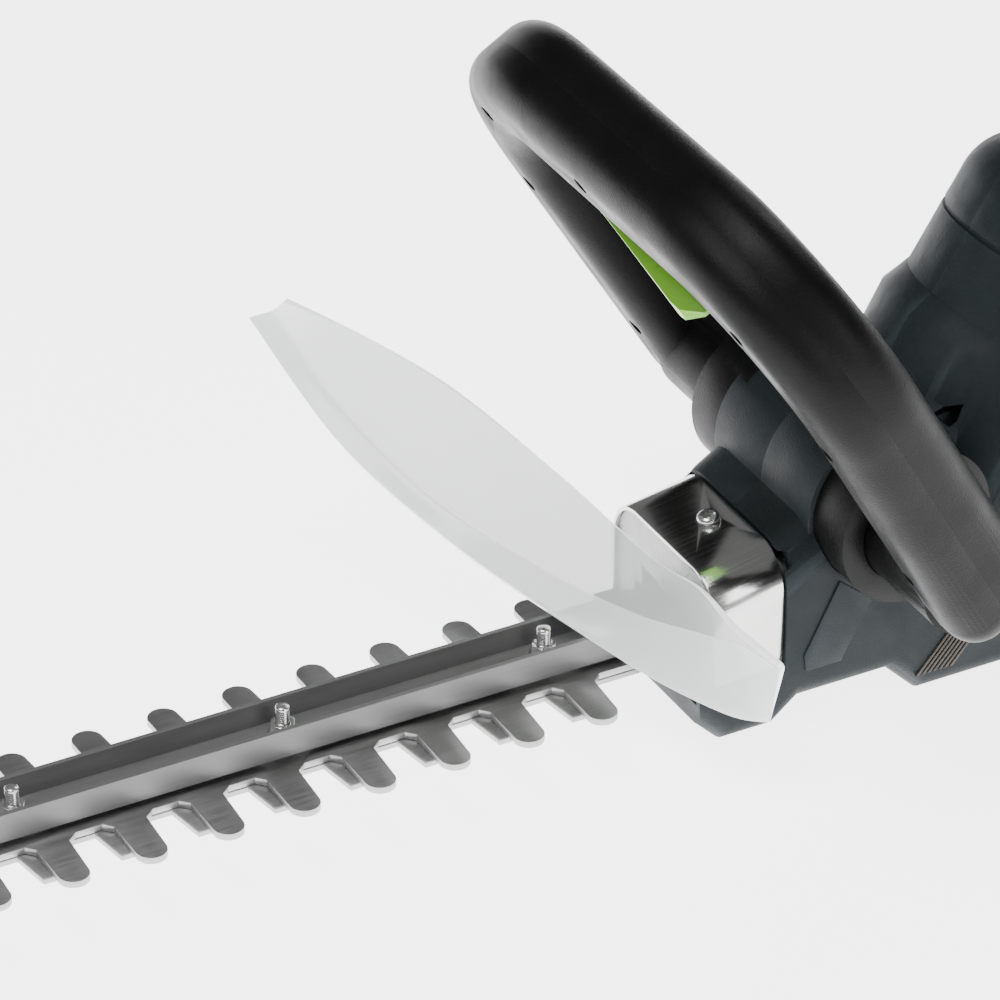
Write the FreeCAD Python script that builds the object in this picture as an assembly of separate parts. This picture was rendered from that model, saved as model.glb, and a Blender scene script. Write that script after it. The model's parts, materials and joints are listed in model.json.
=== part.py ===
# Cordless hedge trimmer: double-sided reciprocating blade, wrap-round front handle, rear D-handle.
# Units mm. +X runs forward along the blade, +Y to the left-hand side, +Z up.
# Origin: centre of the flat sole under the motor housing.
import os
from math import cos, pi, radians, sin

import FreeCAD, Part
from FreeCAD import Vector as V

os.makedirs("parts", exist_ok=True)

# ---- driving dimensions ----
WALL = 3.0                # plastic shell thickness
BODY_HALF = 36.0          # half width of the lower housing
CRANK_X = 70.0            # crank axis
STROKE = 7.5              # blade travel each side of mid stroke (crank throw)
BLADE_Z = 28.0            # plane where the two blades meet
BLADE_T = 2.4             # thickness of one blade
BLADE_GAP = 0.1           # oil gap each side of that plane
TOOTH_PITCH = 27.5
TOOTH_COUNT = 18
TOOTH_REACH = 38.0        # long tooth tip from the centre line
SHORT_REACH = 28.3        # and of the short teeth of the lower blade
SHORT_SHIFT = 3.5         # lower teeth sit this far ahead of the upper ones
ROOT_HALF = 13.0          # gap bottom from the centre line
BLADE_END = 674.0         # front end of the blades
TIP_LEFT_X = 166.0        # rearmost left tooth tip
TIP_RIGHT_X = 157.5       # rearmost right tooth tip
BOLT_X0 = 170.0
BOLT_PITCH = 97.25
BOLT_COUNT = 6
BOLT_R = 2.5
SLEEVE_R = 3.5
RAIL_HALF = 10.0
RAIL_H = 10.3
RAIL_T = 1.8
RAIL_Z = 32.7             # underside of the rail, carried on the bolt sleeves
BARREL = V(57, 0, 79)     # centre of the cross barrel that carries the front handle
BARREL_R = 30.5
BARREL_HALF = 31.0
COLLAR_R = 28.5
COLLAR_END = 50.0
TILT = 30.0               # motor tower leans back
LOOP_TILT = 30.7          # front handle leans forward
LOOP_HALF = 122.5         # outer half width of the front handle at the top
LOOP_FOOT = 107.4         # and at the lower ends
LOOP_TOP = 176.5          # outer height of the front handle above the barrel axis
LOOP_LOW = -12.0
LOOP_CORNER = 72.0        # outer corner radius of the front handle
SEAM = 1.4                # parting plane of the handle ahead of the barrel axis
TUBE_BACK = 16.5          # handle bar behind and ahead of the barrel axis
TUBE_FRONT = 18.5
LEG = 34.0                # width of each leg in the handle plane
BAR = 36.0                # width of the top bar in the handle plane
LEVER_HALF = 10.0
LEVER_FRONT = 22.0        # green bar reaches out ahead of the handle
LEVER_Y = -17.0           # lever pivot
SHAFT_R = 3.0             # crank shaft
BRACKET_HALF = 35.0
TOWER_R = 48.0
TOWER_FOOT = V(-9, 0, 91.6)
MOTOR_FOOT = V(34, 0, 44)
ECC_R = 11.5
YOKE_CLEAR = 1.7
TRIGGER_PIVOT = V(-98, 0, 125)
BATTERY_X = (-214.0, -82.0)
BATTERY_HALF = 38.0
BATTERY_TOP = 50.0
DECK_Z = 58.0

X = V(1, 0, 0)
Y = V(0, 1, 0)
Z = V(0, 0, 1)
SADDLE_UP = V(4.8, 0, 26.4).normalize()
BRACKET_SCREW = V(107.6, 0, 69.5)
UP_TOWER = V(-sin(radians(TILT)), 0, cos(radians(TILT)))


def save(name, shape):
    """Write one named piece."""
    shape.exportStep("parts/" + name + ".step")


def join(shapes):
    """Fuse touching shapes of one moulded or cast piece."""
    out = shapes[0]
    for s in shapes[1:]:
        out = out.fuse(s)
    return out.removeSplitter()


def group(shapes):
    """Identical loose pieces kept as separate solids of one node."""
    return Part.makeCompound(shapes)


def box(x0, x1, y0, y1, z0, z1):
    return Part.makeBox(x1 - x0, y1 - y0, z1 - z0, V(x0, y0, z0))


def rod(r, length, base, axis):
    return Part.makeCylinder(r, length, base, axis)


def ring(r_out, r_in, length, base, axis):
    return rod(r_out, length, base, axis).cut(rod(r_in, length, base, axis))


def wire(points):
    return Part.makePolygon(points + points[:1])


def slab_xz(points, y0, y1):
    """Side-view outline pushed across the tool."""
    face = Part.Face(wire([V(px, y0, pz) for px, pz in points]))
    return face.extrude(V(0, y1 - y0, 0))


def slab_xy(points, z0, z1):
    """Plan outline pushed upwards."""
    face = Part.Face(wire([V(px, py, z0) for px, py in points]))
    return face.extrude(V(0, 0, z1 - z0))


def edges_along(shape, axis, test):
    """Straight edges parallel to axis whose middle passes the test."""
    picked = []
    for e in shape.Edges:
        if e.Curve.TypeId != "Part::GeomLine":
            continue
        d = e.Vertexes[-1].Point.sub(e.Vertexes[0].Point)
        if d.Length > 1e-6 and abs(d.normalize().dot(axis)) > 0.999 and test(e.CenterOfMass):
            picked.append(e)
    return picked


def always(_point):
    return True


def rounded(shape, r, axis, test=always):
    return shape.makeFillet(r, edges_along(shape, axis, test))


def spring(radius, wire_r, length, turns, base, axis):
    """Round-wire coil spring standing on base."""
    pitch = length / turns
    helix = Part.makeHelix(pitch, length, radius)
    section = Part.Wire(Part.makeCircle(wire_r, V(radius, 0, 0), Y))
    coil = Part.Wire(helix).makePipeShell([section], True, True)
    turn = FreeCAD.Rotation(Z, axis)
    coil.Placement = FreeCAD.Placement(base, turn)
    return coil


# ---- housing ----

def lower_block(inset):
    """Belly of the tool: gear space in front, motor foot behind."""
    i = inset
    outline = [(131 - i, 26 - i), (129 - i, 12 + i), (121, 4 + i), (101, 4 + i), (91, 12 + i), (56, 12 + i),
               (44, i), (-45 + i, i), (-62 + i, 20), (-62 + i, 112 - i), (20, 116 - i), (60, 96),
               (98 - i, 72 - i), (98 - i, 26 - i)]
    body = slab_xz(outline, -BODY_HALF + i, BODY_HALF - i)
    rims = [e for e in body.Edges if abs(e.CenterOfMass.y) > BODY_HALF - i - 0.1]
    low = [e for e in rims if e.CenterOfMass.z < 16]
    body = body.makeFillet(7 - i, low)
    rims = [e for e in body.Edges if abs(e.CenterOfMass.y) > BODY_HALF - i - 0.1]
    roof = [e for e in rims if 70 < e.CenterOfMass.x < 90 and e.CenterOfMass.z > 70]
    return body.makeFillet(15 - i, roof)


def tower_shape(inset):
    """Motor tower: stepped rounded column leaning back, with a cap groove."""
    r = TOWER_R - inset
    foot = TOWER_FOOT - UP_TOWER * 62
    column = Part.makeCone(r + 3.5, r - 2, 141 - inset, foot, UP_TOWER)
    rim = [e for e in column.Edges if e.CenterOfMass.z > 140 and e.Curve.TypeId == "Part::GeomCircle"]
    column = column.makeFillet(22 - inset, rim)
    skirt = Part.makeCone(r + 5, r + 0.5, 10, TOWER_FOOT + UP_TOWER * 10, UP_TOWER)
    neck = rod(r + 5, 50, TOWER_FOOT - UP_TOWER * 40, UP_TOWER)
    return join([column, skirt, neck])


def rear_frame(inset):
    """Rear D-handle: grip on top, battery deck below."""
    i = inset
    half = 18.5 - i
    outer = [(-40, 152 - i), (-70, 154 - i), (-214, 138 - i), (-236 + i, 124 - i), (-236 + i, DECK_Z + i),
             (-40, DECK_Z + i)]
    hole = [(-88 + i, 120 + i), (-204 - i, 107 + i), (-212 - i, 98), (-212 - i, 80 - i), (-206, 76 - i),
            (-84, 76 - i), (-76 + i, 84), (-76 + i, 112 + i)]
    frame = slab_xz(outer, -half, half)
    frame = rounded(frame, 8, Y, lambda p: p.x < -100)
    window = slab_xz(hole, -half - 1, half + 1)
    return frame.cut(rounded(window, 5, Y))


def deck(inset):
    """Flange that carries the battery rails."""
    i = inset
    return box(-228 + i, -50, -30 + i, 30 - i, DECK_Z + i, 70 - i)


def envelope(inset):
    barrel = rod(BARREL_R - inset, 2 * (BARREL_HALF - inset), BARREL - Y * (BARREL_HALF - inset), Y)
    parts = [lower_block(inset), tower_shape(inset), barrel, rear_frame(inset), deck(inset)]
    body = join(parts).common(box(-300, 300, -80, 80, inset, 260))
    for side in (-1, 1):
        base = BARREL + Y * (side * (BARREL_HALF - inset))
        body = body.cut(rod(COLLAR_R + 0.3 + inset, 60, base, Y * side))
    return body


def key_sector(r_in, r_out, y0, y1):
    """Upper quarter of a ring round the barrel axis."""
    sleeve = ring(r_out, r_in, y1 - y0, BARREL + Y * y0, Y)
    b = BARREL
    return sleeve.common(slab_xz([(b.x, b.z), (b.x + 45, b.z + 45), (b.x - 45, b.z + 45)], y0, y1))


def battery_rails():
    """Guides under the deck that hold the battery head."""
    rails = []
    for s in (-1, 1):
        web = box(-228, -84, 24.3, 28, 50.6, DECK_Z + 0.5)
        lip = box(-228, -84, 20.3, 28, 50.6, 54.2)
        rail = web.fuse(lip)
        rails.append(rail if s > 0 else rail.mirror(V(0, 0, 0), Y))
    return rails


def housing():
    """Both clam shells before they are parted on the centre plane."""
    outside = envelope(0)
    inside = envelope(WALL)
    shell = outside.cut(inside)
    axle = rod(12, 2 * BARREL_HALF, BARREL - Y * BARREL_HALF, Y)
    inner_half = BRACKET_HALF - 1.4
    nose = box(94.8, 150, -inner_half, inner_half, 21.5, 69.9).fuse(box(97.6, 150, -BODY_HALF - 1, BODY_HALF + 1,
                                                                      26.1, 80))
    trigger_slot = box(-128, -92, -8, 8, 100, 126)
    lock_slot = box(-110, -90, -6, 6, 144, 160)
    groove = ring(TOWER_R + 3, TOWER_R - 1.6, 2, TOWER_FOOT + UP_TOWER * 44, UP_TOWER)
    shell = shell.cut(axle).cut(nose).cut(trigger_slot).cut(lock_slot).cut(groove)
    for n in range(6):
        side = box(-52, -24, -60, 60, 66 + 7 * n, 69 + 7 * n)
        shell = shell.cut(side)
    for slot in battery_terminal_slots():
        shell = shell.cut(slot)
    shell = shell.cut(key_sector(27, 31, 25.4, 31.2)).cut(key_sector(27, 31, -31.2, -25.4))
    return join([shell] + battery_rails())


def battery_terminal_slots():
    return [box(-98, -84, s - 1.5, s + 1.5, 50, 64) for s in (-12, 0, 12)]


def half_space(sign):
    return box(-300, 300, 0, 90, -10, 260) if sign > 0 else box(-300, 300, -90, 0, -10, 260)

# ---- gear case and base ----

def gear_case():
    """Cast tray that carries the crank, open on top."""
    pan = rounded(box(22, 95.5, -29.5, 29.5, 15.4, 62), 8, X, lambda p: p.z < 20)
    neck_half = BRACKET_HALF - 1.6
    neck = slab_xz([(95, 22), (123, 22), (123, 64.7), (98.5, 69.2), (95, 62)], -neck_half, neck_half)
    neck = neck.makeFillet(13.8, edges_along(neck, V(24.5, 0, -4.5).normalize(), always))
    case = join([pan, neck])
    room = box(25, 92, -27.2, 27.2, 22, 63).fuse(rod(27, 12, V(CRANK_X, 0, 32), Z))
    throat = box(91, 126, -21.8, 21.8, 24, 38)
    mouth = box(118, 131, -RAIL_HALF - 7, RAIL_HALF + 7, 24, 46)
    floor_bore = rod(SHAFT_R + 0.05, 9, V(CRANK_X, 0, 13), Z)
    bearing_seat = rod(8, 6, V(CRANK_X, 0, 16.1), Z)
    shaft_way = rod(9, 60, MOTOR_FOOT, UP_TOWER)
    screw_bore = rod(2.05, 9, BRACKET_SCREW - SADDLE_UP * 8, SADDLE_UP)
    for cutter in [room, throat, mouth, floor_bore, bearing_seat, shaft_way, screw_bore] + collar_wells():
        case = case.cut(cutter)
    return case


def collar_wells():
    """Room for the shell walls behind the two collars."""
    r = COLLAR_R + WALL + 0.5
    return [rod(r, 10, BARREL + Y * (s * (BARREL_HALF - WALL - 0.2)), Y * s) for s in (-1, 1)]


def gear_cover():
    plate = box(22, 93.8, -29.5, 29.5, 62, 64.4)
    boss = rod(12, 12, V(CRANK_X, 0, 50.1), Z)
    cover = join([plate, boss])
    for well in collar_wells():
        cover = cover.cut(well)
    cover = cover.cut(rod(8, 6, V(CRANK_X, 0, 50), Z)).cut(rod(SHAFT_R + 0.05, 20, V(CRANK_X, 0, 50), Z))
    return cover.cut(rod(12, 60, MOTOR_FOOT - UP_TOWER * 10, UP_TOWER))


def bearing(r_out, r_in, height, base, axis):
    return ring(r_out, r_in, height, base, axis)


def bracket():
    """Bright sheet saddle bent over the gear neck."""
    outer = [(98, 71.2), (124.4, 66.4), (124.4, 27), (98, 27)]
    hull = slab_xz(outer, -BRACKET_HALF, BRACKET_HALF)
    hull = hull.makeFillet(15.5, edges_along(hull, V(26.4, 0, -4.8).normalize(), always))
    inner = slab_xz([(97, 69.8), (125.4, 64.6), (125.4, 26), (97, 26)], 1.5 - BRACKET_HALF,
                    BRACKET_HALF - 1.5)
    inner = inner.makeFillet(14, edges_along(inner, V(28.4, 0, -5.2).normalize(), lambda p: p.z > 50))
    saddle = hull.cut(inner)
    slant = slab_xz([(92, 24), (92, 42), (104, 24)], -40, 40)
    return saddle.cut(slant).cut(rod(2.05, 12, BRACKET_SCREW - SADDLE_UP * 8, SADDLE_UP))


def pan_head(seat, axis, size, length):
    """Domed screw with a cross recess; seat is the point under the head."""
    head = rod(size, size * 0.6, seat, axis)
    rims = [e for e in head.Edges if e.Curve.TypeId == "Part::GeomCircle"]
    head = head.makeFillet(size * 0.35, [max(rims, key=lambda e: e.CenterOfMass.dot(axis))])
    shank = rod(size * 0.5, length, seat - axis * length, axis)
    return join([head, shank])


# ---- blades ----

def long_tooth(side, tip_x):
    """Tooth of the upper blade: near parallel flanks, round nose."""
    neck = ROOT_HALF + 3
    nose_r = 5.3
    high = TOOTH_REACH - nose_r
    pts = [(8.5, ROOT_HALF - 0.5), (5.2, neck), (nose_r, high), (-nose_r, high), (-6.4, neck), (-10.5, ROOT_HALF - 0.5)]
    body = slab_xy([(tip_x + px, side * py) for px, py in pts], 0, BLADE_T)
    return join([body, rod(nose_r, BLADE_T, V(tip_x, side * high, 0), Z)])


def short_tooth(side, mid_x):
    """Tooth of the lower blade: tapering, cut off square."""
    pts = [(7.3, ROOT_HALF - 0.5), (5.0, SHORT_REACH), (-5.0, SHORT_REACH), (-7.3, ROOT_HALF - 0.5)]
    return slab_xy([(mid_x + px, side * py) for px, py in pts], 0, BLADE_T)


def blade_slots():
    """Long holes the blade bolts run in."""
    cuts = []
    reach = STROKE + 0.4
    for k in range(BOLT_COUNT):
        cx = BOLT_X0 + k * BOLT_PITCH
        slot = box(cx - reach, cx + reach, -SLEEVE_R - 0.3, SLEEVE_R + 0.3, -1, BLADE_T + 1)
        for s in (-1, 1):
            slot = slot.fuse(rod(SLEEVE_R + 0.3, BLADE_T + 2, V(cx + s * reach, 0, -1), Z))
        cuts.append(slot)
    return cuts


def blade(z, make_tooth, shift):
    """Bar with teeth on both sides and a yoke at the crank end."""
    spine = box(CRANK_X + 14, BLADE_END - ROOT_HALF, -ROOT_HALF, ROOT_HALF, 0, BLADE_T)
    nose = rod(ROOT_HALF, BLADE_T, V(BLADE_END - ROOT_HALF, 0, 0), Z)
    yoke = box(CRANK_X - 15, CRANK_X + 15, -21, 21, 0, BLADE_T)
    slot = box(CRANK_X - ECC_R - YOKE_CLEAR, CRANK_X + ECC_R + YOKE_CLEAR, -19.4, 19.4, -1, BLADE_T + 1)
    bar = join([spine, nose, yoke])
    for k in range(TOOTH_COUNT):
        bar = bar.fuse(make_tooth(1, TIP_LEFT_X + shift + k * TOOTH_PITCH))
        bar = bar.fuse(make_tooth(-1, TIP_RIGHT_X - 2 * shift + k * TOOTH_PITCH))
    bar = bar.removeSplitter().cut(slot)
    for cut in blade_slots():
        bar = bar.cut(cut)
    bar.translate(V(0, 0, z))
    return bar


def blade_rail():
    """Stiffening channel above the blades."""
    z0 = RAIL_Z
    end = BOLT_X0 + (BOLT_COUNT - 1) * BOLT_PITCH + 12
    outer = box(124, end, -RAIL_HALF, RAIL_HALF, z0, z0 + RAIL_H)
    inner = box(123, end + 1, -RAIL_HALF + RAIL_T, RAIL_HALF - RAIL_T, z0 + RAIL_T, z0 + RAIL_H + 1)
    rail = outer.cut(inner)
    for k in range(BOLT_COUNT):
        rail = rail.cut(rod(BOLT_R + 0.1, 6, V(BOLT_X0 + k * BOLT_PITCH, 0, z0 - 1), Z))
    return rail


def bolt_axis(k, z):
    return V(BOLT_X0 + k * BOLT_PITCH, 0, z)


def blade_bolts():
    """Flat-headed bolts from below, sleeved where the blades run."""
    bolts = []
    for k in range(BOLT_COUNT):
        head = rod(5.5, 3, bolt_axis(k, 22.4), Z)
        collar = rod(SLEEVE_R, 7.3, bolt_axis(k, 25.4), Z)
        stem = rod(BOLT_R, 13, bolt_axis(k, 32.7), Z)
        bolts.append(join([head, collar, stem.makeChamfer(0.5, stem.Edges[:1])]))
    return group(bolts)


def blade_washers():
    return group([ring(5.2, BOLT_R + 0.1, 0.8, bolt_axis(k, 34.5), Z) for k in range(BOLT_COUNT)])


def blade_nuts():
    nuts = []
    for k in range(BOLT_COUNT):
        c = bolt_axis(k, 35.3)
        pts = [(c.x + 4.6 * cos(pi / 3 * i), 4.6 * sin(pi / 3 * i)) for i in range(6)]
        nut = join([slab_xy(pts, 35.3, 39.4), rod(4.6, 1, c, Z)])
        nuts.append(nut.cut(rod(BOLT_R + 0.05, 8, c - Z, Z)))
    return group(nuts)


# ---- crank ----

def crank_gear():
    cone = Part.makeCone(26, 23.5, 6, V(CRANK_X, 0, 36), Z)
    teeth = 36
    for i in range(teeth):
        a = 2 * pi * i / teeth
        notch = box(22.5, 27, -0.8, 0.8, 35, 43)
        notch.rotate(V(0, 0, 0), Z, a * 180 / pi)
        notch.translate(V(CRANK_X, 0, 0))
        cone = cone.cut(notch)
    return cone.cut(rod(SHAFT_R, 8, V(CRANK_X, 0, 35), Z))


def crank_shaft():
    return rod(SHAFT_R, 40, V(CRANK_X, 0, 16.2), Z)


def eccentric(side, z):
    disc = rod(ECC_R, BLADE_T, V(CRANK_X, side * STROKE, z), Z)
    return disc.cut(rod(SHAFT_R, 5, V(CRANK_X, 0, z - 1), Z))


def crank_spacers():
    """Washers keeping the discs and the gear apart on the shaft."""
    low = ring(5.5, SHAFT_R, 3.0, V(CRANK_X, 0, 22.4), Z)
    top = ring(5.5, SHAFT_R, 5.2, V(CRANK_X, 0, 30.7), Z)
    return group([low, top])


# ---- motor ----

def along_motor(t):
    return MOTOR_FOOT + UP_TOWER * t


def pinion():
    gear = rod(6, 12, along_motor(-5), UP_TOWER)
    for i in range(9):
        notch = box(4.6, 7, -0.7, 0.7, -1, 13)
        notch.rotate(V(0, 0, 0), Z, 40 * i)
        notch.Placement = FreeCAD.Placement(along_motor(-5), FreeCAD.Rotation(Z, UP_TOWER)).multiply(
            notch.Placement)
        gear = gear.cut(notch)
    return gear.cut(rod(2.5, 14, along_motor(-6), UP_TOWER))


def stator():
    body = ring(26, 17, 44, along_motor(38), UP_TOWER)
    return body


def rotor_core():
    return ring(13, 2.5, 44, along_motor(38), UP_TOWER)


def rotor_magnets():
    return ring(16.2, 13, 40, along_motor(40), UP_TOWER)


def end_bell(t):
    """Motor end plate with a bearing pocket."""
    bell = rod(26, 6, along_motor(t), UP_TOWER)
    return bell.cut(rod(8, 6, along_motor(t), UP_TOWER))


def fan():
    hub = ring(7, 2.5, 9, along_motor(94), UP_TOWER)
    disc = ring(24, 2.5, 1.5, along_motor(94), UP_TOWER)
    vane = box(6, 23.5, -0.8, 0.8, 1, 8)
    vanes = []
    for i in range(9):
        v = vane.copy()
        v.rotate(V(0, 0, 0), Z, 40 * i)
        v.Placement = FreeCAD.Placement(along_motor(94), FreeCAD.Rotation(Z, UP_TOWER)).multiply(v.Placement)
        vanes.append(v)
    return join([hub, disc] + vanes)


# ---- front handle ----

def to_loop(shape):
    """Move a piece from the flat handle plane onto the barrel."""
    shape.rotate(V(0, 0, 0), Y, LOOP_TILT)
    shape.translate(BARREL)
    return shape


def slab_yz(points, x0, x1):
    face = Part.Face(wire([V(x0, py, pz) for py, pz in points]))
    return face.extrude(V(x1 - x0, 0, 0))


def loop_ring(inset):
    """Closed part of the handle in its own plane, x being the plane normal."""
    i = inset
    back = i - TUBE_BACK
    front = TUBE_FRONT - i
    top = LOOP_TOP - i
    outer = slab_yz([(-LOOP_FOOT + i, LOOP_LOW + i), (LOOP_FOOT - i, LOOP_LOW + i), (LOOP_HALF - i, top),
                     (-LOOP_HALF + i, top)], back, front)
    outer = rounded(outer, LOOP_CORNER - i, X, lambda p: p.z > 100)
    inner_top = LOOP_TOP - BAR + i
    window = slab_yz([(-LOOP_FOOT + LEG - i, LOOP_LOW - 5), (LOOP_FOOT - LEG + i, LOOP_LOW - 5),
                      (LOOP_HALF - LEG + i, inner_top), (-LOOP_HALF + LEG - i, inner_top)], back - 1, front + 1)
    window = rounded(window, LOOP_CORNER - LEG + i, X, lambda p: p.z > 80)
    frame = rounded(outer.cut(window), 14 - i, X, lambda p: p.z < LOOP_LOW + i + 1)
    soft = [e for e in frame.Edges if min(abs(e.CenterOfMass.x - back), abs(e.CenterOfMass.x - front)) < 0.01]
    return frame.makeFillet(12 - i, soft)


def loop_bosses(r, y_in):
    """Short round arms joining the handle to the collars."""
    length = LOOP_FOOT - 20 - y_in
    near = rod(r, length, V(0, y_in, 0), Y)
    far = rod(r, length, V(0, -y_in, 0), -Y)
    return [near, far]


def loop_screw_spots():
    spots = [(s * y, h) for s in (-1, 1) for y, h in ((90, 24), (98, 97), (82, 145))]
    return spots + [(-4, 161)]


def loop_shell(front):
    """Front or rear half of the hollow handle."""
    outside = join([loop_ring(0)] + loop_bosses(20, COLLAR_END - 5))
    inside = loop_ring(WALL)
    for arm in loop_bosses(17, COLLAR_END - 6):
        inside = inside.fuse(arm)
    shell = outside.cut(inside)
    side = box(SEAM, 60, -200, 200, -60, 200) if front else box(-60, SEAM, -200, 200, -60, 200)
    shell = shell.common(side)
    slot_top = LOOP_TOP - BAR + 12
    shell = shell.cut(box(-LEVER_HALF - 0.6, LEVER_HALF + 0.6, LEVER_Y - 8, LEVER_Y + 68, slot_top - 15, slot_top))
    posts = []
    for y, h in loop_screw_spots():
        x0 = SEAM if front else 1.5 - TUBE_BACK
        x1 = TUBE_FRONT - 1.5 if front else SEAM
        posts.append(rod(4, x1 - x0, V(x0, y, h), X))
    shell = join([shell] + posts)
    for y, h in loop_screw_spots():
        shell = shell.cut(rod(1.6, TUBE_FRONT + 12, V(-10, y, h), X))
        if front:
            shell = shell.cut(rod(3.2, 10, V(TUBE_FRONT - 6, y, h), X))
    pin_hole = rod(1.55, 2 * LEVER_HALF + 5, V(-LEVER_HALF - 2.5, LEVER_Y, LOOP_TOP - BAR + 0.6), X)
    return to_loop(shell.cut(pin_hole))


def loop_screws():
    screws = []
    for y, h in loop_screw_spots():
        head = rod(3.0, 2.2, V(TUBE_FRONT - 6, y, h), X)
        stem = rod(1.55, 18, V(TUBE_FRONT - 24, y, h), X)
        screws.append(join([head, stem]))
    return to_loop(group(screws))


def collar(side):
    """Grip-side ring with a key tab let into the barrel."""
    lo = BARREL_HALF
    body = rod(COLLAR_R, COLLAR_END - lo, V(0, lo, 0), Y)
    body = body.cut(rod(20.3, 10, V(0, COLLAR_END - 6, 0), Y)).cut(rod(14, 30, V(0, 20, 0), Y))
    body.translate(BARREL)
    body = join([body, key_sector(27.2, 28.5, 25.6, lo + 1), key_sector(28, 30.4, 25.6, lo - 0.1)])
    return body if side > 0 else body.mirror(V(0, 0, 0), Y)


def front_lever():
    """Green squeeze bar under the top of the front handle."""
    h = LOOP_TOP - BAR
    y = LEVER_Y
    tenon = slab_yz([(y - 6, h + 3.5), (y + 64, h + 3.5), (y + 66, h - 9), (y, h - 4), (y - 5, h - 1)], -LEVER_HALF,
                    LEVER_HALF)
    wing = slab_yz([(y - 5, h - 1.5), (y + 66, h - 8), (y + 66, h - 10), (y + 54, h - 14), (y + 48, h - 14.5),
                    (y + 18, h - 6.5), (y - 5, h - 4)], -8, LEVER_FRONT)
    front = slab_xy([(15.5, y - 8), (16, y + 2), (LEVER_FRONT + 0.5, y + 57), (16.5, y + 67), (30, y + 67), (30, y - 8)],
                    h - 30, h + 10)
    bar = join([tenon, rounded(wing, 1.2, X, lambda p: p.z < h - 9).cut(front)])
    return to_loop(bar.cut(rod(1.55, 60, V(-30, y, h + 0.6), X)))


def lever_pin():
    return to_loop(rod(1.5, 2 * LEVER_HALF + 4, V(-LEVER_HALF - 2, LEVER_Y, LOOP_TOP - BAR + 0.6), X))


def guard_edge(points):
    curve = Part.BSplineCurve()
    curve.interpolate([V(px, py, pz) for px, py, pz in points])
    return curve


# upper rim, fold and lower rim of the guard, each from the right-hand end to the left-hand end
GUARD_TOP = [(195.8, -136.5, 108), (180, -108, 104), (165, -70, 98), (146, -30, 80), (133, 10, 67), (127.5, 32, 65),
             (125, 48, 60)]
GUARD_FOLD = [(197, -143, 100.5), (192, -108, 82), (178, -66, 63), (160, -22, 54), (144, 16, 52), (131, 38, 53),
              (123, 52, 54), (117.5, 67, 52)]
GUARD_LOW = [(203.8, -148.4, 97), (196, -95, 72), (180, -49, 55), (163, 0, 46), (148, 32, 38), (131, 56, 31.5),
             (120, 64, 30)]


def guard_sheet(edge_a, edge_b, push):
    """Moulded wall between two rims, thickened along push."""
    face = Part.makeRuledSurface(guard_edge(edge_a).toShape(), guard_edge(edge_b).toShape())
    return face.extrude(push)


def guard():
    """Clear shield: a sloping plate and a hanging lip."""
    plate = guard_sheet(GUARD_TOP, GUARD_FOLD[:7], V(-0.8, 0, -2.4))
    lip = guard_sheet(GUARD_FOLD, GUARD_LOW, V(-2.5, 0, 0))
    return join([plate, lip])


# ---- rear handle and battery ----

def trigger():
    outline = [(-126, 122), (-112, 126), (-100, 129), (-94.5, 127), (-94.5, 118), (-100, 104), (-108, 102),
               (-118, 106), (-126, 112)]
    paddle = slab_xz(outline, -7.4, 7.4)
    paddle = rounded(paddle, 2, Y, lambda p: p.z < 113)
    return paddle.cut(rod(1.55, 20, TRIGGER_PIVOT - Y * 10, Y))


def trigger_pin():
    return rod(1.5, 31, TRIGGER_PIVOT - Y * 15.5, Y)


def trigger_spring():
    return spring(2.6, 0.5, 4, 3, TRIGGER_PIVOT + Y * 9, Y)


def lock_button():
    cap = box(-109, -91, -5.4, 5.4, 143, 157)
    cap = cap.makeFillet(2, [e for e in cap.Edges if e.CenterOfMass.z > 147])
    foot = box(-111, -89, -7, 7, 142.2, 145)
    return join([cap, foot])


def lock_spring():
    return spring(3, 0.5, 2.6, 3, V(-100, 0, 139.1), Z)


def rear_switch():
    body = box(-124, -98, -8, 8, 131.5, 138.6)
    plunger = rod(1.8, 2, V(-120, 0, 130), Z)
    return join([body, plunger])


def front_switch():
    """Small switch above the free end of the green bar."""
    h = LOOP_TOP - BAR
    return to_loop(box(-6, 6, LEVER_Y + 38, LEVER_Y + 60, h + 14, h + 24))


def lever_spring():
    """Folded leaf that pushes the green bar down."""
    h = LOOP_TOP - BAR
    y = LEVER_Y + 3
    leaf = [(y, h + 5), (y + 8, h + 5.9), (y + 8, h + 6.7), (y + 1.5, h + 6.2), (y + 8, h + 11.6), (y + 7.3, h + 12.4),
            (y, h + 6.3)]
    return to_loop(slab_yz(leaf, -4, 4))


def battery_lower():
    x0, x1 = BATTERY_X
    outer = box(x0, x1, -BATTERY_HALF, BATTERY_HALF, 0, 30)
    outer = rounded(outer, 9, Z)
    inner = box(x0 + 2.4, x1 - 2.4, -BATTERY_HALF + 2.4, BATTERY_HALF - 2.4, 2.4, 31)
    return outer.cut(rounded(inner, 6.6, Z))


def battery_upper():
    x0, x1 = BATTERY_X
    outer = rounded(box(x0, x1, -BATTERY_HALF, BATTERY_HALF, 30, BATTERY_TOP), 9, Z)
    inner = rounded(box(x0 + 2.4, x1 - 2.4, -BATTERY_HALF + 2.4, BATTERY_HALF - 2.4, 29, BATTERY_TOP - 2.4),
                    6.6, Z)
    neck = box(x0 + 8, x1, -20, 20, BATTERY_TOP - 1, DECK_Z - 0.4)
    head = box(x0 + 8, x1, -24, 24, DECK_Z - 3.4, DECK_Z - 0.4)
    shell = join([outer.cut(inner), neck, head])
    pocket = box(x1 - 16, x1 + 1, -15, 15, BATTERY_TOP - 6, DECK_Z + 1)
    latch_well = box(x0 - 1, x0 + 16, -11, 11, BATTERY_TOP - 14, DECK_Z + 1)
    return shell.cut(pocket).cut(latch_well)


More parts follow.
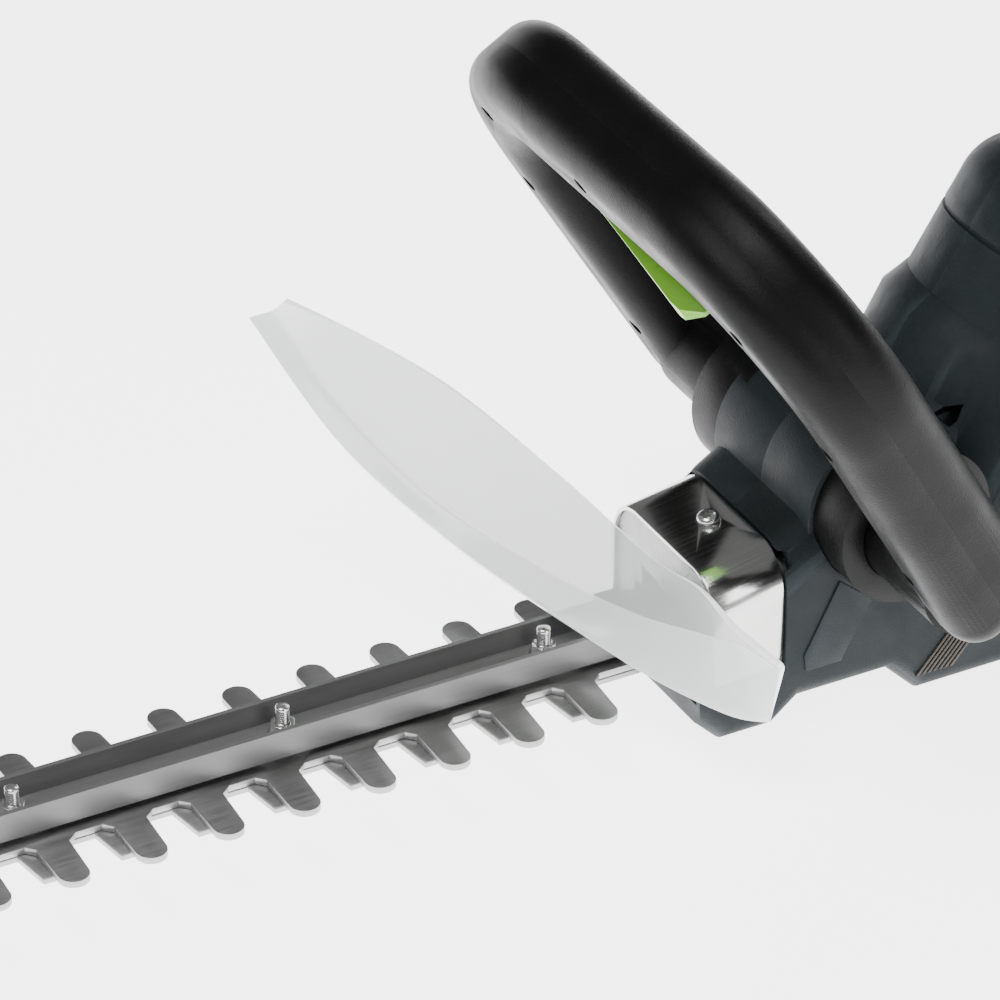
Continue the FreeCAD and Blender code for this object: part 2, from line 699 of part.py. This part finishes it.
def battery_cells():
    """Two layers of five round cells lying across the pack."""
    cells = []
    x0 = BATTERY_X[0]
    for level in (13.2, 34.0):
        for i in range(5):
            cells.append(rod(10.4, 65, V(x0 + 18 + 23.6 * i, -32.5, level), Y))
    return group(cells)


def battery_board():
    x0, x1 = BATTERY_X
    return box(x0 + 24, x1 - 22, -30, 30, 45.2, 46.8)


def battery_latch():
    x0 = BATTERY_X[0]
    button = box(x0 - 2.5, x0 + 6, -10, 10, BATTERY_TOP - 12, DECK_Z - 8)
    tongue = box(x0 + 3, x0 + 8, -8, 8, DECK_Z - 9, DECK_Z - 1)
    return join([button, tongue])


def latch_spring():
    return spring(1.6, 0.35, 7, 4, V(BATTERY_X[0] + 5, 0, 30.6), Z)


def terminal_block():
    return box(-100, -84, -18, 18, 61.2, 66)


def terminal_blades():
    return group([box(-96, -86, s - 0.4, s + 0.4, 50, 61.2) for s in (-12, 0, 12)])


def controller_board():
    base = box(-38, 12, -24, 24, 3.2, 5.2)
    caps = [rod(5, 16, V(cx, cy, 5.2), Z) for cx in (-28, -14) for cy in (-14, 14)]
    return join([base] + caps)


# ---- write the pieces ----

def main():
    body = housing()
    save("housing_left", body.common(half_space(1)))
    save("housing_right", body.common(half_space(-1)))
    save("gear_case", gear_case())
    save("gear_cover", gear_cover())
    save("bracket", bracket())
    save("bracket_screw", pan_head(BRACKET_SCREW, SADDLE_UP, 4.0, 7))
    save("upper_blade", blade(BLADE_Z + BLADE_GAP, long_tooth, 0))
    save("lower_blade", blade(BLADE_Z - BLADE_GAP - BLADE_T, short_tooth, SHORT_SHIFT))
    save("blade_rail", blade_rail())
    save("blade_bolts", blade_bolts())
    save("blade_washers", blade_washers())
    save("blade_nuts", blade_nuts())
    save("crank_gear", crank_gear())
    save("crank_shaft", crank_shaft())
    save("eccentric_upper", eccentric(1, BLADE_Z))
    save("eccentric_lower", eccentric(-1, BLADE_Z - 2.4))
    save("crank_spacers", crank_spacers())
    save("bearing_lower", bearing(8, SHAFT_R, 5, V(CRANK_X, 0, 16.2), Z))
    save("bearing_upper", bearing(8, SHAFT_R, 5, V(CRANK_X, 0, 50.5), Z))
    save("pinion", pinion())
    save("stator", stator())
    save("rotor_core", rotor_core())
    save("rotor_magnets", rotor_magnets())
    save("motor_shaft", rod(2.5, 112, along_motor(-5), UP_TOWER))
    save("front_bell", end_bell(30))
    save("rear_bell", end_bell(84))
    save("motor_bearings", group([bearing(8, 2.5, 5, along_motor(t), UP_TOWER) for t in (30.5, 84.5)]))
    save("fan", fan())
    save("collar_left", collar(1))
    save("collar_right", collar(-1))
    save("loop_front_shell", loop_shell(True))
    save("loop_rear_shell", loop_shell(False))
    save("loop_screws", loop_screws())
    save("front_lever", front_lever())
    save("lever_pin", lever_pin())
    save("lever_spring", lever_spring())
    save("front_switch", front_switch())
    save("guard", guard())
    save("trigger", trigger())
    save("trigger_pin", trigger_pin())
    save("trigger_spring", trigger_spring())
    save("lock_spring", lock_spring())
    save("latch_spring", latch_spring())
    save("lock_button", lock_button())
    save("rear_switch", rear_switch())
    save("battery_lower", battery_lower())
    save("battery_upper", battery_upper())
    save("battery_cells", battery_cells())
    save("battery_board", battery_board())
    save("battery_latch", battery_latch())
    save("terminal_block", terminal_block())
    save("terminal_blades", terminal_blades())
    save("controller_board", controller_board())


main()
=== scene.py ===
import bpy, bmesh, json
from math import sin, cos, pi, radians, hypot
from mathutils import Vector, Matrix


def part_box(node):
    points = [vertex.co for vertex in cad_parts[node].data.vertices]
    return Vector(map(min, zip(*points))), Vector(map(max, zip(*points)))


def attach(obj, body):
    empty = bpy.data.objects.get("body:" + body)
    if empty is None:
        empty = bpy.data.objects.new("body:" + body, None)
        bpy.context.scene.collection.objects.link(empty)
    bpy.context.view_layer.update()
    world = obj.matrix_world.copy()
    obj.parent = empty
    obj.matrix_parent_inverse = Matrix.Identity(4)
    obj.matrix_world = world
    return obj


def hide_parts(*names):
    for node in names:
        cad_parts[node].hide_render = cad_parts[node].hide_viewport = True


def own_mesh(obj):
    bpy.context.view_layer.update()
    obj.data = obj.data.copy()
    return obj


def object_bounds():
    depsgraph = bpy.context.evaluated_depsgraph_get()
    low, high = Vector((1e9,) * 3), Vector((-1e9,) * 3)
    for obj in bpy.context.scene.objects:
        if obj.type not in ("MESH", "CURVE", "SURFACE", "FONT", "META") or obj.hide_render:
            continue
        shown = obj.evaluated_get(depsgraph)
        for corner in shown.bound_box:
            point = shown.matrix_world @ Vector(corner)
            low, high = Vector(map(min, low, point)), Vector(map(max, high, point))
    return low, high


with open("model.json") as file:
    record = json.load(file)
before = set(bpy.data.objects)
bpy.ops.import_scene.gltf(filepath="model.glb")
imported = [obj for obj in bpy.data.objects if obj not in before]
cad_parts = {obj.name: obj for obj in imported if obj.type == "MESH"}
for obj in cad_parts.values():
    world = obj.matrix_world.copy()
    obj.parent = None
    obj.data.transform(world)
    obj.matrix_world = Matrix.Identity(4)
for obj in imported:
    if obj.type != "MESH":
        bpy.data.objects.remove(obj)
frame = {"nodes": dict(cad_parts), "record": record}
CAD_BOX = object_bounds()
NODES = frame["nodes"]
MM = 0.001


# ---- node helpers ----

def new_material(name):
    m = bpy.data.materials.new(name)
    m.use_nodes = True
    nt = m.node_tree
    return m, nt, nt.nodes["Principled BSDF"]


def noise(nt, scale, detail=3.0, rough=0.55, stretch=None):
    coord = nt.nodes.new("ShaderNodeTexCoord")
    src = coord.outputs["Object"]
    if stretch:
        mp = nt.nodes.new("ShaderNodeMapping")
        mp.inputs["Scale"].default_value = stretch
        nt.links.new(src, mp.inputs["Vector"])
        src = mp.outputs["Vector"]
    n = nt.nodes.new("ShaderNodeTexNoise")
    n.inputs["Scale"].default_value = scale
    n.inputs["Detail"].default_value = detail
    n.inputs["Roughness"].default_value = rough
    nt.links.new(src, n.inputs["Vector"])
    return n.outputs["Fac"]


def ramp(nt, fac, lo, hi, a, b):
    """Colour or grey ramp from a at lo to b at hi."""
    r = nt.nodes.new("ShaderNodeValToRGB")
    r.color_ramp.elements[0].position = lo
    r.color_ramp.elements[1].position = hi
    r.color_ramp.elements[0].color = (*a, 1) if isinstance(a, tuple) else (a, a, a, 1)
    r.color_ramp.elements[1].color = (*b, 1) if isinstance(b, tuple) else (b, b, b, 1)
    nt.links.new(fac, r.inputs["Fac"])
    return r.outputs["Color"]


def bump(nt, height, strength, distance):
    b = nt.nodes.new("ShaderNodeBump")
    b.inputs["Strength"].default_value = strength
    b.inputs["Distance"].default_value = distance
    nt.links.new(height, b.inputs["Height"])
    return b.outputs["Normal"]


def edge_mask(nt, lo=0.53, hi=0.6):
    """Grey mask that is white on outer edges."""
    g = nt.nodes.new("ShaderNodeNewGeometry")
    return ramp(nt, g.outputs["Pointiness"], lo, hi, 0.0, 1.0)


def mix(nt, fac, a, b):
    m = nt.nodes.new("ShaderNodeMix")
    m.data_type = "RGBA"
    nt.links.new(fac, m.inputs[0])
    for sock, v in ((m.inputs[6], a), (m.inputs[7], b)):
        if isinstance(v, tuple):
            sock.default_value = (*v, 1)
        else:
            nt.links.new(v, sock)
    return m.outputs[2]


def plastic(name, dark, light, rough, grain_scale, grain, pale_edge=None, spec=0.5):
    """Moulded plastic: spark-eroded grain, slight tone drift, paler outer edges."""
    m, nt, p = new_material(name)
    tone = ramp(nt, noise(nt, 14, 4), 0.3, 0.7, dark, light)
    if pale_edge:
        tone = mix(nt, edge_mask(nt), tone, pale_edge)
    nt.links.new(tone, p.inputs["Base Color"])
    nt.links.new(ramp(nt, noise(nt, 60, 3), 0.35, 0.65, rough - 0.05, rough + 0.06), p.inputs["Roughness"])
    fine = noise(nt, grain_scale, 2, 0.6)
    nt.links.new(bump(nt, fine, grain, 0.0004), p.inputs["Normal"])
    p.inputs["Specular IOR Level"].default_value = spec
    return m


def metal(name, dark, light, rough, stretch, scale=900, grain=0.15, tone_scale=30):
    """Metal with drawn or ground lines along one axis."""
    m, nt, p = new_material(name)
    p.inputs["Metallic"].default_value = 1.0
    lines = noise(nt, scale, 4, 0.6, stretch)
    tone = mix(nt, noise(nt, tone_scale, 3), ramp(nt, lines, 0.3, 0.7, dark, light), light)
    nt.links.new(tone, p.inputs["Base Color"])
    nt.links.new(ramp(nt, lines, 0.3, 0.7, rough - 0.06, rough + 0.08), p.inputs["Roughness"])
    nt.links.new(bump(nt, lines, grain, 0.0002), p.inputs["Normal"])
    return m


SLATE = plastic("slate", (0.0072, 0.0108, 0.0125), (0.0100, 0.0145, 0.0168), 0.52, 1500, 0.5,
                (0.018, 0.024, 0.028), 0.17)
BLACK = plastic("black_satin", (0.0022, 0.0022, 0.0024), (0.0036, 0.0036, 0.0039), 0.40, 1700, 0.35,
                spec=0.11)
COLLAR = plastic("black_collar", (0.0028, 0.0028, 0.003), (0.0045, 0.0045, 0.0048), 0.46, 1500, 0.35,
                 spec=0.15)
GREEN = plastic("green", (0.10, 0.30, 0.012), (0.13, 0.36, 0.018), 0.30, 1600, 0.05, (0.24, 0.5, 0.05))
ALLOY = plastic("cast_alloy", (0.32, 0.32, 0.33), (0.42, 0.42, 0.43), 0.5, 700, 0.5)
ALLOY.node_tree.nodes["Principled BSDF"].inputs["Metallic"].default_value = 1.0
STAINLESS = metal("stainless", (0.48, 0.48, 0.48), (0.66, 0.66, 0.65), 0.16, (1, 60, 1), 40, 0.05)
ZINC = metal("zinc", (0.62, 0.63, 0.64), (0.86, 0.86, 0.85), 0.2, (1, 1, 1), 300, 0.2)
BLADE = metal("blade", (0.27, 0.27, 0.27), (0.40, 0.40, 0.40), 0.42, (1, 18, 1), 60, 0.12)
RAIL = metal("rail", (0.15, 0.15, 0.15), (0.20, 0.20, 0.20), 0.5, (1, 20, 20), 50, 0.1)
RAIL.node_tree.nodes["Principled BSDF"].inputs["Metallic"].default_value = 0.55
STEEL = metal("drive_steel", (0.35, 0.35, 0.36), (0.55, 0.55, 0.56), 0.3, (1, 1, 1), 500, 0.1)
IRON = metal("motor_iron", (0.12, 0.07, 0.05), (0.2, 0.12, 0.09), 0.45, (1, 1, 40), 60, 0.4)
BRASS = metal("brass", (0.55, 0.40, 0.15), (0.75, 0.58, 0.25), 0.25, (1, 1, 1), 400, 0.1)
BATTERY = plastic("battery_shell", (0.008, 0.009, 0.010), (0.012, 0.013, 0.014), 0.48, 1500, 0.4,
                  (0.014, 0.015, 0.016), 0.2)
BOARD = plastic("board", (0.01, 0.08, 0.03), (0.02, 0.12, 0.05), 0.35, 500, 0.2)
BROWN = plastic("grip_strip", (0.022, 0.017, 0.013), (0.04, 0.03, 0.022), 0.6, 900, 0.8)
CELL = plastic("cell_wrap", (0.02, 0.08, 0.16), (0.03, 0.11, 0.2), 0.35, 300, 0.05)


def guard_material(name, dark, light, alpha, painted_glow):
    """Milky clear plastic, glossy, with slow waves left by the mould. The glow is emission that paints
    highlights onto the lip and rim.
    """
    m, nt, p = new_material(name)
    nt.links.new(ramp(nt, noise(nt, 9, 3), 0.3, 0.7, dark, light), p.inputs["Base Color"])
    nt.links.new(ramp(nt, noise(nt, 40, 3), 0.3, 0.7, 0.10, 0.18), p.inputs["Roughness"])
    nt.links.new(bump(nt, noise(nt, 22, 2), 0.25, 0.002), p.inputs["Normal"])
    p.inputs["Alpha"].default_value = alpha
    p.inputs["IOR"].default_value = 1.5
    p.inputs["Emission Color"].default_value = (1, 1, 1, 1)
    p.inputs["Emission Strength"].default_value = painted_glow
    return m


CLEAR = guard_material("clear_plate", (0.62, 0.64, 0.64), (0.74, 0.76, 0.76), 0.50, 0.0)
# Lip: paler and faintly glowing, a painted highlight along the fold.
LIP_PAINTED_HIGHLIGHT = guard_material("clear_lip_painted_highlight", (0.80, 0.82, 0.82), (0.88, 0.90, 0.90), 0.72, 0.12)
# Rim: near-white and strongly glowing, a painted highlight on the cut edges.
RIM_PAINTED_HIGHLIGHT = guard_material("clear_rim_painted_highlight", (0.92, 0.93, 0.93), (0.96, 0.97, 0.97), 0.95, 0.9)

BY_SLOT = {
    "slate_shell": SLATE, "black_grip": BLACK, "black_collar": COLLAR, "cast_alloy": ALLOY,
    "stainless_sheet": STAINLESS, "bright_zinc": ZINC, "blade_steel": BLADE, "rail_steel": RAIL,
    "drive_steel": STEEL, "motor_iron": IRON, "spring_steel": STEEL, "fan_plastic": BLACK,
    "clear_guard": CLEAR, "green_plastic": GREEN, "battery_shell": BATTERY, "cell_wrap": CELL,
    "board": BOARD, "brass_blade": BRASS,
}
for sub in frame["record"]["subparts"]:
    obj = NODES[sub["node"]]
    obj.data.materials.clear()
    obj.data.materials.append(BY_SLOT[sub["material_slot"]])


# ---- pieces ----

HOUSE = "housing"
SHARP_DEG = 30            # edges sharper than this are rolled over
FLAT_DEG = 0.6            # faces flatter than this are merged first
BEVEL_SEGMENTS = 2
SHADE_DEG = 32            # edges sharper than this stay crisp in shading


def body_of(node):
    for body, nodes in frame["record"]["behaviour"]["bodies"].items():
        if node in nodes:
            return body
    return HOUSE


def slot_of(node):
    return next(s["material_slot"] for s in frame["record"]["subparts"] if s["node"] == node)


def soften(me, degrees=SHADE_DEG):
    for poly in me.polygons:
        poly.use_smooth = True
    me.set_sharp_from_angle(angle=radians(degrees))


def make(name, bm, material, body, node=None):
    """Turn a bmesh into a piece that rides on a body and, if given, stands for a node."""
    bmesh.ops.recalc_face_normals(bm, faces=bm.faces[:])
    me = bpy.data.meshes.new(name)
    bm.to_mesh(me)
    bm.free()
    me.materials.append(material)
    obj = bpy.data.objects.new(name, me)
    bpy.context.collection.objects.link(obj)
    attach(obj, body)
    if node:
        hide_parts(node)
    return obj


def refined(node, width):
    """Copy of a node with its hard edges rolled over by width mm."""
    bm = bmesh.new()
    bm.from_mesh(NODES[node].data)
    bmesh.ops.remove_doubles(bm, verts=bm.verts[:], dist=2e-6)
    bmesh.ops.dissolve_limit(bm, angle_limit=radians(FLAT_DEG), verts=bm.verts[:], edges=bm.edges[:],
                             delimit=set())
    hard = [e for e in bm.edges if len(e.link_faces) == 2 and e.calc_face_angle(0) > radians(SHARP_DEG)]
    bmesh.ops.bevel(bm, geom=hard, offset=width * MM, offset_type="OFFSET", segments=BEVEL_SEGMENTS,
                    profile=0.5, affect="EDGES", clamp_overlap=True)
    obj = make(node + "_skin", bm, BY_SLOT[slot_of(node)], body_of(node), node)
    soften(obj.data)


def lathe(bm, profile, at, sides=28):
    """Solid of revolution about Z from (radius, height) pairs in mm."""
    rings = []
    for r, z in profile:
        turn = []
        for i in range(sides):
            angle = 2 * pi * i / sides
            turn.append(bm.verts.new(((at[0] + r * cos(angle)) * MM, (at[1] + r * sin(angle)) * MM, z * MM)))
        rings.append(turn)
    for a, b in zip(rings, rings[1:]):
        for i in range(sides):
            bm.faces.new((a[i], a[(i + 1) % sides], b[(i + 1) % sides], b[i]))
    bm.faces.new(rings[0][::-1])
    bm.faces.new(rings[-1])


# Blade bolt, in mm above its foot.
BOLT_COUNT = 6
HEAD_CHAMFER, HEAD_TOP = 0.5, 3
SHOULDER_R, SHOULDER_TOP = 3.5, 10.3
SHANK_R, SHANK_TOP = 2.5, 17.5
THREAD_PITCH = 0.8
THREAD_TURN = [(2.5, 0.1), (2.12, 0.42), (2.5, 0.74)]      # radius and rise: crest, root, crest


def threaded_bolts():
    """Blade bolts with a real thread on the exposed end."""
    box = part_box("blade_bolts")
    lo, hi = box[0] / MM, box[1] / MM
    radius = (hi.y - lo.y) / 2
    pitch = (hi.x - lo.x - 2 * radius) / (BOLT_COUNT - 1)
    bm = bmesh.new()
    for k in range(BOLT_COUNT):
        x = lo.x + radius + k * pitch
        profile = [(radius - HEAD_CHAMFER, lo.z), (radius, lo.z + HEAD_CHAMFER), (radius, lo.z + HEAD_TOP),
                   (SHOULDER_R, lo.z + HEAD_TOP), (SHOULDER_R, lo.z + SHOULDER_TOP),
                   (SHANK_R, lo.z + SHOULDER_TOP), (SHANK_R, lo.z + SHANK_TOP)]
        z = lo.z + SHANK_TOP
        while z < hi.z - 1.0:
            profile += [(r, z + rise) for r, rise in THREAD_TURN]
            z += THREAD_PITCH
        profile += [(2.4, hi.z - 0.45), (1.95, hi.z)]
        lathe(bm, profile, (x, 0))
    obj = make("blade_bolts_thread", bm, ZINC, HOUSE, "blade_bolts")
    soften(obj.data, 50)


def curve_at(points, s):
    """Catmull-Rom point at share s of a station list."""
    n = len(points) - 1
    f = min(s * n, n - 1e-6)
    i = int(f)
    t = f - i
    p = [Vector(points[max(0, min(n, i + k))]) for k in (-1, 0, 1, 2)]
    return 0.5 * (2 * p[1] + (p[2] - p[0]) * t + (2 * p[0] - 5 * p[1] + 4 * p[2] - p[3]) * t * t
                  + (3 * p[1] - p[0] - 3 * p[2] + p[3]) * t * t * t)


# Guard stations in mm, from its far end to the saddle: plate edge, fold and lip edge.
GUARD_TOP = [(195.8, -136.5, 108), (180, -108, 104), (165, -70, 98), (146, -30, 80),
             (134, 8, 67), (127.8, 30, 65.2), (125.2, 48, 60), (118.5, 66, 53.5)]
GUARD_FOLD = [(197, -143, 100.5), (192, -108, 82), (178, -66, 63), (160, -22, 54),
              (144, 16, 52), (131, 38, 53), (123, 52, 54), (117.5, 67, 52)]
GUARD_LOW = [(203.8, -148, 97), (196, -95, 72), (180, -49, 55), (163, 0, 46),
             (148, 32, 38), (131, 56, 31.5), (120, 64, 30.3)]
GUARD_COLUMNS = 90
GUARD_WALL = 2.3
GUARD_ROLL = 5.0          # widest roll of the fold
GUARD_RIM = 0.7


def guard_sheet():
    """Moulded clear shield: sloping plate, rolled fold and hanging lip in one skin."""
    bm = bmesh.new()
    grid = []
    for c in range(GUARD_COLUMNS + 1):
        s = c / GUARD_COLUMNS
        top, fold, low = (curve_at(line, s) for line in (GUARD_TOP, GUARD_FOLD, GUARD_LOW))
        up, down = (top - fold), (low - fold)
        roll = min(GUARD_ROLL, 0.35 * up.length, 0.35 * down.length)
        a, b = fold + up.normalized() * roll, fold + down.normalized() * roll
        row = [top.lerp(a, k / 5) for k in range(6)]
        for k in range(1, 6):
            t = k / 6
            row.append(a * (1 - t) ** 2 + fold * 2 * t * (1 - t) + b * t * t)
        row += [b.lerp(low, k / 5) for k in range(6)]
        grid.append([bm.verts.new(v * MM) for v in row])
    for a, b in zip(grid, grid[1:]):
        for i in range(len(a) - 1):
            face = bm.faces.new((a[i], a[i + 1], b[i + 1], b[i]))
            face.material_index = 0 if i < 8 else 1
    obj = make("guard_shield", bm, CLEAR, HOUSE, "guard")
    # The rim takes the slot two past its face: one slot for the plate and one for the lip.
    for material in (LIP_PAINTED_HIGHLIGHT, RIM_PAINTED_HIGHLIGHT, RIM_PAINTED_HIGHLIGHT):
        obj.data.materials.append(material)
    thick = obj.modifiers.new("thickness", "SOLIDIFY")
    thick.thickness = GUARD_WALL * MM
    thick.offset = 0
    thick.material_offset_rim = 2
    edge = obj.modifiers.new("rim", "BEVEL")
    edge.width = GUARD_RIM * MM
    edge.segments = 3
    edge.limit_method = "ANGLE"
    edge.angle_limit = radians(50)
    soften(obj.data, 60)


def pressed_coil(node):
    """Coil spring copied from its node onto a mesh of its own."""
    bm = bmesh.new()
    bm.from_mesh(NODES[node].data)
    obj = make(node + "_coil", bm, STEEL, body_of(node), node)
    soften(obj.data, 60)
    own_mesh(obj)


BORE_LIMIT = 0.005        # points nearer the axis than this, in m, are on the bore
BORE_EASE = 0.0001        # 0.1 mm


def eased_bearing(node):
    """Shaft bearing with its bore opened 0.1 mm. The CAD bore has no clearance on its shaft."""
    bm = bmesh.new()
    bm.from_mesh(NODES[node].data)
    lo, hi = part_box(node)
    cx, cy = (lo.x + hi.x) / 2, (lo.y + hi.y) / 2
    for v in bm.verts:
        r = hypot(v.co.x - cx, v.co.y - cy)
        if r < BORE_LIMIT:
            v.co.x = cx + (v.co.x - cx) * (1 + BORE_EASE / r)
            v.co.y = cy + (v.co.y - cy) * (1 + BORE_EASE / r)
    obj = make(node + "_skin", bm, STEEL, HOUSE, node)
    soften(obj.data, 40)


SCREW_LEAN = (4.8, 0, 26.4)       # along the normal of the saddle's top
SCREW_SEAT = (107.6, 0, 69.6)
SCREW_TURN = 0.6                  # how the recess happens to lie, in radians
LAND = 1.5                        # side of each land
LAND_OUT, LAND_UP = 1.2, 1.5


def pan_head_screw():
    """Saddle screw: low domed head with a cross recess left between four lands."""
    lean = Vector(SCREW_LEAN).normalized()
    seat = Vector(SCREW_SEAT)
    bm = bmesh.new()
    lathe(bm, [(2.0, -6.0), (2.0, 0), (4.0, 0), (4.0, 0.55), (3.8, 1.2), (3.3, 1.75), (2.6, 2.1), (2.1, 2.25),
               (1.9, 0.9)], (0, 0), 32)
    for sx in (-1, 1):
        for sy in (-1, 1):
            spot = Matrix.Translation((sx * LAND_OUT * MM, sy * LAND_OUT * MM, LAND_UP * MM))
            size = Matrix.Diagonal((LAND * MM, LAND * MM, LAND * MM, 1))
            bmesh.ops.create_cube(bm, size=1, matrix=spot @ size)
    turn = Vector((0, 0, 1)).rotation_difference(lean).to_matrix().to_4x4()
    place = Matrix.Translation(seat * MM) @ turn @ Matrix.Rotation(SCREW_TURN, 4, "Z")
    bmesh.ops.transform(bm, matrix=place, verts=bm.verts[:])
    head = make("pan_head", bm, ZINC, HOUSE, "bracket_screw")
    soften(head.data, 40)


def plate(name, outline, y0, y1, material, body, width=0.5):
    """Bevelled plate with a side-view outline between two y planes, in mm."""
    bm = bmesh.new()
    a = [bm.verts.new((x * MM, y0 * MM, z * MM)) for x, z in outline]
    b = [bm.verts.new((x * MM, y1 * MM, z * MM)) for x, z in outline]
    n = len(outline)
    bm.faces.new(a)
    bm.faces.new(b[::-1])
    for i in range(n):
        bm.faces.new((a[i], b[i], b[(i + 1) % n], a[(i + 1) % n]))
    bmesh.ops.bevel(bm, geom=bm.edges[:], offset=width * MM, segments=2, profile=0.5, affect="EDGES")
    obj = make(name, bm, material, body, None)
    soften(obj.data)


# Side views of the flank pieces, in mm.
BODY_HALF = 36.0
SUNK, PROUD = 0.6, 0.7
PANEL = [(76.2, 24), (90, 24), (90.8, 30.4), (77.6, 56.2), (64.4, 44.9), (70.7, 36.1)]
WEB = [(18, 94), (42, 94), (38, 103.5), (22, 105)]
WEB_NEAR, WEB_FAR = 14, 27.5
STRIP_TOP, STRIP_FOOT = (32, 23), (45, 8)
RIBS, RIB_PITCH, RIB_WIDTH = 7, 2.2, 1.4


def side_details():
    """Service panel, shoulder web and ribbed grip strip on both flanks. The web is a guess."""
    for side, tag in ((1, "left"), (-1, "right")):
        lo, hi = sorted((side * (BODY_HALF - SUNK), side * (BODY_HALF + PROUD)))
        plate("service_panel_" + tag, PANEL, lo, hi, SLATE, HOUSE, 0.4)
        near, far = sorted((side * WEB_NEAR, side * WEB_FAR))
        plate("shoulder_web_" + tag, WEB, near, far, SLATE, HOUSE, 0.8)
        for k in range(RIBS):
            (xt, zt), (xf, zf) = STRIP_TOP, STRIP_FOOT
            d = -RIB_PITCH * k
            rib = [(xf + d, zf), (xf + d + RIB_WIDTH, zf), (xt + d + RIB_WIDTH, zt), (xt + d, zt)]
            plate("grip_rib_%s_%d" % (tag, k), rib, lo, hi, BROWN, HOUSE, 0.3)


# How far each node's hard edges are rolled over, in mm.
WIDTHS = {
    "housing_left": 0.6, "housing_right": 0.6, "loop_front_shell": 0.5, "loop_rear_shell": 0.5,
    "collar_left": 0.8, "collar_right": 0.8, "gear_case": 0.5, "gear_cover": 0.4, "bracket": 0.45,
    "upper_blade": 0.8, "lower_blade": 0.7, "blade_rail": 0.35, "blade_nuts": 0.35,
    "blade_washers": 0.2, "front_lever": 0.7, "trigger": 0.8, "lock_button": 0.5, "battery_latch": 0.6,
    "battery_lower": 0.8, "battery_upper": 0.8, "loop_screws": 0.3, "crank_gear": 0.2, "fan": 0.2,
    "terminal_block": 0.3,
}


def build_pieces():
    for node, width in WIDTHS.items():
        refined(node, width)
    threaded_bolts()
    pan_head_screw()
    eased_bearing("bearing_lower")
    eased_bearing("bearing_upper")
    pressed_coil("lock_spring")
    pressed_coil("latch_spring")
    guard_sheet()
    side_details()


# ---- studio ----

FLOOR_HALF = 8
FLOOR_DROP = 0.0002
FLOOR_GLOW = 4.0
WORLD_LIGHT = 0.2
LAMP_TARGET = (0.1, 0, 0.08)
LAMPS = [("key", (0.9, 0.2, 1.9), 1.0, 34), ("side", (-0.4, 1.9, 1.0), 0.9, 14),
         ("back", (-1.6, -1.0, 1.4), 0.9, 14)]      # name, place, size and power
CAM_AZ, CAM_EL = 151.6, 32.4      # degrees
CAM_DIST = 2237.0                 # mm
CAM_PX_PER_MM = 3.001             # at the aim point, in a view 1000 wide
AIM_RIGHT, AIM_UP = -14.53, 55.49
AIM_FROM = (170, 0, 30)
SENSOR = 36


def studio():
    me = bpy.data.meshes.new("floor")
    bm = bmesh.new()
    bmesh.ops.create_grid(bm, x_segments=2, y_segments=2, size=FLOOR_HALF)
    bm.to_mesh(me)
    bm.free()
    floor = bpy.data.objects.new("floor", me)
    bpy.context.collection.objects.link(floor)
    floor.location.z = CAD_BOX[0].z - FLOOR_DROP
    m, nt, p = new_material("floor_white")
    tone = ramp(nt, noise(nt, 3, 2), 0.3, 0.7, (0.86, 0.86, 0.86), (0.89, 0.89, 0.89))
    nt.links.new(tone, p.inputs["Base Color"])
    p.inputs["Roughness"].default_value = 0.9
    p.inputs["Specular IOR Level"].default_value = 0.1
    p.inputs["Emission Color"].default_value = (1, 1, 1, 1)
    p.inputs["Emission Strength"].default_value = FLOOR_GLOW
    me.materials.append(m)
    world = bpy.data.worlds.new("studio")
    bpy.context.scene.world = world
    world.use_nodes = True
    bg = world.node_tree.nodes["Background"]
    bg.inputs["Color"].default_value = (1, 1, 1, 1)
    bg.inputs["Strength"].default_value = WORLD_LIGHT
    target = Vector(LAMP_TARGET)
    for name, at, size, power in LAMPS:
        lamp = bpy.data.lights.new(name, "AREA")
        lamp.size = size
        lamp.energy = power
        o = bpy.data.objects.new(name, lamp)
        o.location = at
        o.rotation_mode = "QUATERNION"
        o.rotation_quaternion = (target - Vector(at)).to_track_quat("-Z", "Y")
        bpy.context.collection.objects.link(o)


def camera():
    az, el = radians(CAM_AZ), radians(CAM_EL)
    back = Vector((sin(az) * cos(el), -cos(az) * cos(el), sin(el)))
    right = Vector((cos(az), sin(az), 0))
    up = back.cross(right)
    aim = right * AIM_RIGHT + up * AIM_UP + Vector(AIM_FROM)
    cam = bpy.data.cameras.new("camera")
    cam.sensor_width = SENSOR
    cam.lens = SENSOR * CAM_PX_PER_MM * CAM_DIST / 1000
    cam.clip_end = 50
    o = bpy.data.objects.new("camera", cam)
    o.location = (aim + back * CAM_DIST) * MM
    o.rotation_mode = "QUATERNION"
    o.rotation_quaternion = (-back).to_track_quat("-Z", "Y")
    bpy.context.collection.objects.link(o)
    bpy.context.scene.camera = o


build_pieces()
studio()
camera()
